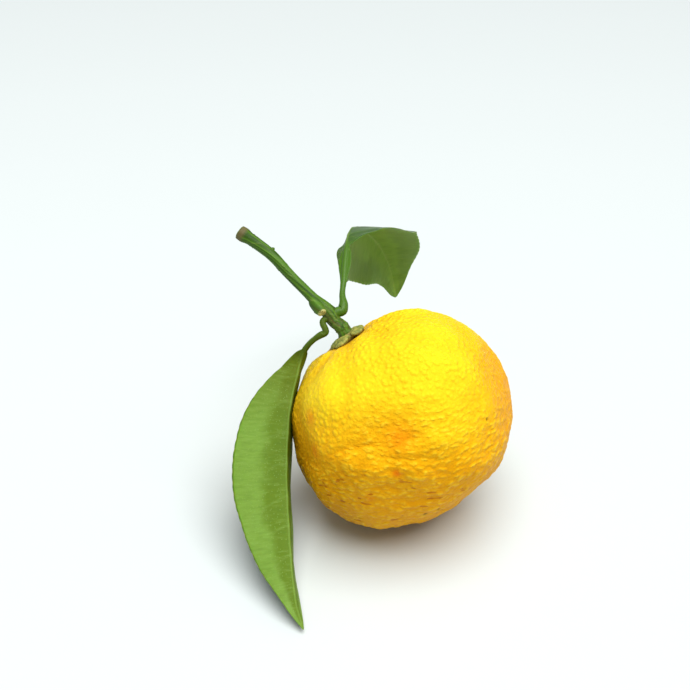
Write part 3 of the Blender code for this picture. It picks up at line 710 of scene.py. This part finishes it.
def make_leaf(name, form, finish, node):
    """A leaf grown out of the twig: a round stalk, then a folded blade with a rib and teeth."""
    line, _ = path_through(twig_points(), np.linspace(0.0, 1.0, ROOT_POINTS))
    foot = np.array(form["spine"][0])
    root = line[np.argmin(np.linalg.norm(line - foot, axis=1))]
    spine = (tuple(root),) + form["spine"]
    sunk = np.linalg.norm(root - foot)
    _, length = path_through(spine, (0.0, 1.0))
    run = np.linspace(0.0, length, round(length / LEAF_STEP))
    fractions = (run - sunk) / (length - sunk)
    places, _ = path_through(spine, run / length)
    ahead, _ = path_through(spine, np.clip(run / length + SPINE_NUDGE, 0.0, 1.0))
    behind, _ = path_through(spine, np.clip(run / length - SPINE_NUDGE, 0.0, 1.0))
    tangent = unit(ahead - behind)
    normal = profile(form["normal"], fractions)
    normal = unit(normal - tangent * np.sum(normal * tangent, axis=1, keepdims=True))
    across = np.cross(normal, tangent)

    blade_from = form["blade_from"]
    blade_length = (1.0 - blade_from) * (length - sunk)
    along_blade = np.clip((fractions - blade_from) / (1.0 - blade_from), 0.0, 1.0)[:, None]
    grown_in = np.clip(np.minimum(along_blade, 1.0 - along_blade) / TOOTHLESS_END, 0.0, 1.0)
    opens_from, opens_at = [blade_from + share for share in BLADE_OPENS]
    bladed = ease(opens_from, opens_at, fractions)[:, None]
    width = profile(form["half_width"], fractions)
    thickness = profile(form["half_thickness"], fractions)
    wave_height, wave_count = form["wave"]

    columns = np.linspace(-1.0, 1.0, LEAF_COLUMNS)[None]
    hand = np.sign(columns)
    fold = profile(form["fold"], fractions) - form["right_half_opens"] * bladed * (hand > 0)
    fold = np.radians(fold)
    spread = hand * np.abs(columns) ** COLUMN_SPREAD
    share = np.sin(columns * math.pi / 2) * (1 - bladed) + spread * bladed
    beside = share * width
    teeth = tooth(along_blade * blade_length)
    crowned = TOOTH_DEPTH * grown_in * teeth * np.abs(share) ** TEETH_POWER
    reach = beside + hand * crowned
    rounding = FOLD_ROUNDING * bladed + 0.01
    drop = np.sin(fold) * (np.sqrt(reach ** 2 + rounding ** 2) - rounding)
    phase = 2 * math.pi * wave_count * along_blade + WAVE_LAG * (hand > 0)
    lift = grown_in * share ** 2 * (wave_height * np.sin(phase) - form["curl"] * width)
    middle = (places[:, None] + across[:, None] * (reach * np.cos(fold))[:, :, None]
              + normal[:, None] * (lift - drop)[:, :, None])
    facing = unit(np.cross(np.gradient(middle, axis=0), np.gradient(middle, axis=1)))

    rod_wide = np.minimum(width, thickness * 1.1) * (1 - bladed)
    rod_wide = rod_wide + profile(RIB_HALF_WIDTHS, fractions) * bladed
    rod_high = thickness * (1 - RIB_LOWER * bladed)
    rod = rod_high * np.sqrt(np.clip(1 - (beside / rod_wide) ** 2, 0.0, 1.0))
    soft = rod_high * bell(beside, rod_wide * RIB_SOFTER)
    rod = rod * (1 - bladed) + soft * bladed
    edge = np.sqrt(np.clip(1 - np.abs(share) ** EDGE_POWER, 0.0, 1.0))
    sheet = np.minimum(SHEET_HALF_THICKNESS, width * 0.5) * edge
    raised = (rod ** 3 + sheet ** 3) ** (1 / 3)
    inner = rod * (1 - INNER_RIB_LOWER * bladed)
    sunken = (inner ** 3 + sheet ** 3) ** (1 / 3)
    outer = middle + facing * raised[:, :, None]
    inner = middle - facing * sunken[:, :, None]
    rings = np.concatenate((outer, inner[:, -2:0:-1]), axis=1)
    skin_places, faces = skin(rings)

    def round_ring(values):
        """A field of the sheet carried to the ring's points and the two end points."""
        values = np.broadcast_to(values, middle.shape[:2])
        ringed = np.concatenate((values, values[:, -2:0:-1]), axis=1)
        return np.concatenate((ringed.ravel(), [ringed[0].mean(), ringed[-1].mean()]))

    face = np.zeros(rings.shape[:2])
    face[:, :LEAF_COLUMNS] = 1.0
    face[:, (0, LEAF_COLUMNS - 1)] = 0.5
    face = np.concatenate((face.ravel(), (0.5, 0.5)))
    notch = -teeth * grown_in * ease(0.97, 1.0, np.abs(share))
    mesh = mesh_of(name, skin_places, faces, along=round_ring(along_blade * blade_length),
                   beside=round_ring(beside), outward=round_ring(np.abs(share)),
                   bladed=round_ring(bladed), face=face, notch=round_ring(notch))
    turn_outward(mesh)
    mesh = grown(mesh, leaf_veins(), {**VEIN_SIZES, "Material": finish})
    return finish_piece(mesh, name, node)


def turn_outward(mesh):
    shape = bmesh.new()
    shape.from_mesh(mesh)
    bmesh.ops.recalc_face_normals(shape, faces=shape.faces)
    shape.to_mesh(mesh)
    shape.free()


def new_material(name):
    """A material, its node tree, its shader and the object's coordinates in mm."""
    made = bpy.data.materials.new(name)
    made.use_nodes = True
    tree = made.node_tree
    place = add(tree, "ShaderNodeTexCoord")
    in_mm = add(tree, VECTOR_MATH, {0: place.outputs["Object"], "Scale": 1 / MM}, operation="SCALE")
    return made, tree, tree.nodes["Principled BSDF"], in_mm


def layered(tree, base, *layers):
    """Colours laid over a base one after another, each given as (its share, the colour)."""
    for share, over in layers:
        base, over = [colour(one) if isinstance(one, str) else one for one in (base, over)]
        base = add(tree, MIX, {0: share, 6: base, 7: over}, data_type="RGBA")
    return base


def rind_material():
    """Ripe citrus rind: wax over oil glands, with painted light and shade: crests painted yellow as
    highlight, folds and hollows painted orange as shade, the lit top painted lemon.
    """
    made, tree, shader, place = new_material("waxy_citrus_rind")
    field = fields_in(tree, "wrinkled", "lump", "low_down", "blush", "pit", "from_stem", "sunny",
                      "calm", "wrinkle_place")
    drawn_place = field["wrinkle_place"]
    pebble, wrinkle = pebbles_and_wrinkles(tree, place, drawn_place, PEBBLE_WIDTH)
    puff = add(tree, MIX, {0: field["wrinkled"], 2: pebble, 3: wrinkle})
    patches = add(tree, NOISE, {"Vector": place, "Scale": 0.07, "Detail": 3.0, "Roughness": 0.6})
    patch = add(tree, RANGE, {"Value": patches, "From Min": 0.35, "From Max": 0.68})
    # Painted shade and light of the relief: hollows and the valleys between puffs painted deeper
    # orange as shade, weaker on the lit top, and the crests painted lighter yellow as highlight.
    painted_hollow_shade = add(tree, RANGE,
                 {"Value": field["lump"], "From Min": 0.6, "From Max": -1.4, "To Max": 0.7})
    low = add(tree, RANGE, {"Value": puff, "From Min": 0.6, "From Max": 0.05, "To Max": 0.5})
    fading = add(tree, RANGE, {"Value": field["sunny"], "To Min": 1.0, "To Max": 0.3})
    low = add(tree, MATH, {0: low, 1: fading}, operation="MULTIPLY")
    painted_crest_highlight = add(tree, RANGE, {"Value": puff, "From Min": 0.5, "From Max": 0.9, "To Max": 0.45})
    painted_crest_highlight = add(tree, MATH, {0: painted_crest_highlight, 1: field["wrinkled"]}, operation="MULTIPLY")
    flecks = add(tree, NOISE, {"Vector": drawn_place, "Scale": 2.4, "Detail": 2.0})
    fleck = add(tree, RANGE, {"Value": flecks, "From Min": 0.5, "From Max": 0.68, "To Max": 0.4})
    fleck = add(tree, MATH, {0: fleck, 1: field["wrinkled"]}, operation="MULTIPLY")
    # The dashes: short creases, dented by the bump and painted dark brown as the shade in them.
    lying = add(tree, VECTOR_MATH, {0: drawn_place, 1: (0.4, 0.9, 0.9)}, operation="MULTIPLY")
    dashes = add(tree, NOISE, {"Vector": lying, "Scale": 1.0, "Detail": 1.5, "Distortion": 0.3})
    crease_dent_and_shade = add(tree, RANGE, {"Value": dashes, "From Min": 0.36, "From Max": 0.3, "To Max": 0.7},
               **EASED)
    crease_dent_and_shade = add(tree, MATH, {0: crease_dent_and_shade, 1: field["low_down"]}, operation="MULTIPLY")
    near_stem = add(tree, RANGE,
                    {"Value": field["from_stem"], "From Min": 11.0, "From Max": 5.0, "To Max": 0.6})
    # Painted light: lemon yellow laid over the lit top, with the orange below it and on the right rim
    # left as painted shade.
    lemon = layered(tree, "#F9DB22", (patch, "#F8D420"))
    base = layered(tree, "#E9AE12", (patch, "#E2A20C"), (field["sunny"], lemon),
                   (painted_hollow_shade, "#E8A00C"), (low, "#DC8E04"), (painted_crest_highlight, "#FBD838"),
                   (field["blush"], "#EA700E"), (fleck, "#CC8208"), (crease_dent_and_shade, "#B2580E"),
                   (field["pit"], "#43230A"), (near_stem, "#C9A02A"))

    pores = add(tree, CELLS, {"Vector": place, "Scale": 1.1, "Randomness": 0.9})
    pore = add(tree, RANGE, {"Value": pores, "From Min": 0.0, "From Max": 0.42}, **EASED)
    grain = add(tree, NOISE, {"Vector": place, "Scale": 1.6, "Detail": 3.0})
    relief = add(tree, MATH, {0: puff, 1: 0.28}, operation="MULTIPLY")
    relief = add(tree, MATH, {0: relief, 1: field["calm"]}, operation="MULTIPLY")
    for form, height in ((pore, 0.06), (grain, 0.2), (crease_dent_and_shade, -0.12)):
        relief = add(tree, MATH, {0: form, 1: height, 2: relief}, operation="MULTIPLY_ADD")
    bump = add(tree, "ShaderNodeBump", {"Height": relief, "Strength": 1.0, "Distance": MM})
    feed(tree, shader, {
        "Base Color": base, "Normal": bump, "Roughness": 0.52, "Specular IOR Level": 0.14,
        "Specular Tint": colour("#FFD038"), "Subsurface Weight": 0.12,
        "Subsurface Radius": (1.0, 0.7, 0.1), "Subsurface Scale": 1.6 * MM})
    return made


def calyx_material():
    """Drying green sepals: olive and leathery, browned low down where they tuck down to the rind,
    partly from drying and partly as painted shade there, and darker as painted shade in their folds.
    """
    made, tree, shader, place = new_material("leathery_sepal")
    field = fields_in(tree, "above_rind", "from_axis", "fold")
    mottle = add(tree, NOISE, {"Vector": place, "Scale": 0.8, "Detail": 3.0, "Roughness": 0.6})
    blend = add(tree, RANGE, {"Value": mottle, "From Min": 0.38, "From Max": 0.62})
    # Browner low down where the lobes meet the rind: partly the sepals' drying, partly painted shade
    # between them and the rind.
    low = add(tree, RANGE, {"Value": field["above_rind"], "From Min": 0.7, "From Max": 0.2})
    hub = add(tree, RANGE,
              {"Value": field["from_axis"], "From Min": 3.1, "From Max": 2.3, "To Max": 0.6})
    # Painted shade: darker olive in the hollows of the folds.
    painted_fold_shade = add(tree, RANGE,
                {"Value": field["fold"], "From Min": 0.48, "From Max": 0.3, "To Max": 0.5})
    base = layered(tree, "#A4A04A", (blend, "#687830"), (low, "#7A5628"), (hub, "#8E6E44"),
                   (painted_fold_shade, "#5F5A26"))
    grain = add(tree, NOISE, {"Vector": place, "Scale": 6.0, "Detail": 2.0})
    bump = add(tree, "ShaderNodeBump", {"Height": grain, "Strength": 0.5, "Distance": 0.06 * MM})
    feed(tree, shader, {"Base Color": base, "Normal": bump, "Roughness": 0.6,
                        "Specular IOR Level": 0.35})
    return made


def bark_material():
    """Young green bark: streaked along the twig, with pale lenticels and a pale cut face."""
    made, tree, shader, place = new_material("green_twig_bark")
    field = fields_in(tree, "along", "aged", "cut", "cut_radius", "scar", "lenticel", "ridge",
                      "grain_place")
    streaks = add(tree, NOISE, {"Vector": field["grain_place"], "Scale": 0.7, "Detail": 3.0,
                                "Roughness": 0.6})
    streak = add(tree, RANGE, {"Value": streaks, "From Min": 0.38, "From Max": 0.62})
    brown = add(tree, RANGE,
                {"Value": field["ridge"], "From Min": 0.4, "From Max": 0.28, "To Max": 0.65})
    scurf = add(tree, NOISE, {"Vector": field["grain_place"], "Scale": 1.6, "Detail": 3.0,
                              "Roughness": 0.7})
    scurfy = add(tree, RANGE, {"Value": scurf, "From Min": 0.5, "From Max": 0.62, "To Max": 0.7})
    scurfy = add(tree, MATH, {0: scurfy, 1: field["aged"]}, operation="MULTIPLY")
    speck = add(tree, MATH, {0: field["lenticel"], 1: 0.35}, operation="MULTIPLY")
    collar = add(tree, RANGE,
                 {"Value": field["along"], "From Min": 0.945, "From Max": 0.97, "To Max": 0.8})
    wood = add(tree, RANGE, {"Value": field["cut_radius"], "From Min": 0.55, "From Max": 0.7})
    rim = add(tree, RANGE, {"Value": field["cut_radius"], "From Min": 1.75, "From Max": 1.95})
    cut_face = layered(tree, "#C9B98A", (wood, "#D9CFA0"), (rim, "#4F6B2C"))
    ragged = add(tree, RANGE, {"Value": scurf, "From Min": 0.68, "From Max": 0.52})
    ragged = add(tree, MATH, {0: field["scar"], 1: ragged}, operation="MULTIPLY")
    base = layered(tree, "#56801C", (streak, "#28460A"), (brown, "#4A3A1C"), (scurfy, "#6E5634"),
                   (speck, "#8F9A48"), (collar, "#6A5A38"), (field["cut"], cut_face),
                   (ragged, "#D6D088"))
    grain = add(tree, NOISE, {"Vector": place, "Scale": 3.0, "Detail": 3.0})
    bump = add(tree, "ShaderNodeBump", {"Height": grain, "Strength": 0.6, "Distance": 0.12 * MM})
    feed(tree, shader, {"Base Color": base, "Normal": bump, "Roughness": 0.5,
                        "Specular IOR Level": 0.2})
    return made


def leaf_material(name, tones, upper_is_outer):
    """A citrus blade: waxed dark upper face, matt paler underside, oil glands all over it."""
    made, tree, shader, place = new_material(name)
    field = fields_in(tree, "face", "vein", "beside", "outward", "bladed", "notch", "along")
    ends = (0.0, 1.0) if upper_is_outer else (1.0, 0.0)
    is_upper = add(tree, RANGE, {"Value": field["face"], "To Min": ends[0], "To Max": ends[1]})
    # The zone towards the margin takes the outer tone: partly the blade's own tone, partly a painted
    # sheen where the front leaf's outer tone is paler.
    patches = add(tree, NOISE, {"Vector": place, "Scale": 0.12, "Detail": 3.0, "Roughness": 0.6})
    bloom_and_sheen = add(tree, MATH, {0: patches, 1: 0.5, 2: field["outward"]}, operation="MULTIPLY_ADD")
    bloom_and_sheen = add(tree, RANGE, {"Value": bloom_and_sheen, "From Min": 0.55, "From Max": 0.85}, **EASED)
    at_base = add(tree, RANGE,
                  {"Value": field["along"], "From Min": 24.0, "From Max": 4.0, "To Max": 0.8})
    narrowed = add(tree, MATH, {0: field["beside"], 1: 0.2}, operation="MULTIPLY")
    across = add(tree, "ShaderNodeCombineXYZ", {"X": field["along"], "Y": narrowed, "Z": is_upper})
    hatching = add(tree, NOISE, {"Vector": across, "Scale": 1.1, "Detail": 3.0, "Roughness": 0.65})
    hatch = add(tree, RANGE, {"Value": hatching, "From Min": 0.48, "From Max": 0.7, "To Max": 0.35})
    pale = add(tree, RANGE, {"Value": hatching, "From Min": 0.47, "From Max": 0.28, "To Max": 0.25})
    glands = add(tree, CELLS, {"Vector": place, "Scale": 1.25})
    gland = add(tree, RANGE, {"Value": glands, "From Min": 0.24, "From Max": 0.12, "To Max": 0.35})
    veined = add(tree, MATH, {0: field["vein"], 1: 0.15}, operation="MULTIPLY")
    far = add(tree, MATH, {0: field["beside"]}, operation="ABSOLUTE")
    on_rib = add(tree, RANGE, {"Value": far, "From Min": 0.5, "From Max": 0.2, "To Max": 0.3})
    rib_tones = [(share, tones["rib"]) for share in (pale, gland, veined, on_rib)]
    blade = layered(tree, tones["by_rib"], (bloom_and_sheen, tones["outer"]), (at_base, tones["base"]),
                    (is_upper, tones["upper"]), (hatch, tones["dark"]), *rib_tones,
                    (field["notch"], "#8F9A30"))
    base = layered(tree, tones["stalk"], (field["bladed"], blade))
    rough = add(tree, RANGE, {"Value": is_upper, "To Min": UNDERSIDE_ROUGHNESS,
                              "To Max": UPPER_FACE_ROUGHNESS})
    grain = add(tree, NOISE, {"Vector": place, "Scale": 2.2, "Detail": 2.0})
    cells = add(tree, CELLS, {"Vector": place, "Scale": 0.8}, feature="DISTANCE_TO_EDGE")
    net = add(tree, RANGE, {"Value": cells, "From Max": 0.12})
    relief = add(tree, MATH, {0: net, 1: 0.6, 2: grain}, operation="MULTIPLY_ADD")
    bump = add(tree, "ShaderNodeBump", {"Height": relief, "Strength": 0.3, "Distance": 0.05 * MM})
    feed(tree, shader, {
        "Base Color": base, "Normal": bump, "Roughness": rough, "Specular IOR Level": 0.18,
        "Subsurface Weight": 0.35, "Subsurface Radius": (0.5, 1.0, 0.1),
        "Subsurface Scale": 0.8 * MM})
    return made


def make_floor():
    """A white glossy table top."""
    made, tree, shader, _ = new_material("glossy_white_table")
    feed(tree, shader, {"Base Color": TABLE_COLOUR, "Roughness": 0.25, "Specular IOR Level": 0.25})
    side = TABLE_HALF_SIDE
    mesh = bpy.data.meshes.new("table_top")
    mesh.from_pydata([(-side, -side, 0), (side, -side, 0), (side, side, 0), (-side, side, 0)],
                     [], [(0, 1, 2, 3)])
    mesh.materials.append(made)
    floor = new_object("table_top", mesh)


def make_light():
    """A pale room with one broad soft light, high and a little in front."""
    world = bpy.data.worlds.new("pale_room")
    bpy.context.scene.world = world
    world.use_nodes = True
    background = world.node_tree.nodes["Background"]
    feed(world.node_tree, background, {"Color": ROOM_COLOUR, "Strength": ROOM_POWER})
    lamp = bpy.data.lights.new("soft_box", "SUN")
    lamp.energy = LIGHT_POWER
    lamp.angle = math.radians(LIGHT_SPREAD)
    holder = new_object("soft_box", lamp)
    holder.rotation_euler = Vector(LIGHT_WAY).to_track_quat("Z", "Y").to_euler()


def make_camera():
    lens = bpy.data.cameras.new("camera")
    lens.sensor_width = SENSOR
    lens.lens = LENS
    camera = new_object("camera", lens)
    camera.location = [place * MM for place in CAMERA_PLACE]
    camera.rotation_euler = (math.radians(CAMERA_TILT), 0.0, 0.0)
    bpy.context.scene.camera = camera


def main():
    solid = smooth_solid(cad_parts["fruit"])
    make_rind(solid)
    make_calyx(solid)
    make_twig()
    # The front leaf's paler outer tone is partly a painted sheen.
    front = leaf_material("young_citrus_leaf", {
        "by_rib": "#587400", "outer": "#6E9030", "base": "#5C6A04", "upper": "#3F6418",
        "rib": "#86A650", "dark": "#4E6C0C", "stalk": "#4A5F10"}, upper_is_outer=False)
    back = leaf_material("dark_citrus_leaf", {
        "by_rib": "#7C9C30", "outer": "#6C8A26", "base": "#5C8A4C", "upper": "#34551A",
        "rib": "#8FAA4C", "dark": "#56701C", "stalk": "#4A6E1C"}, upper_is_outer=True)
    make_leaf("front_leaf", LEAF_FRONT, front, "leaf_front")
    make_leaf("back_leaf", LEAF_BACK, back, "leaf_back")
    make_floor()
    make_light()
    make_camera()
    bpy.context.scene.view_settings.view_transform = "Standard"


main()
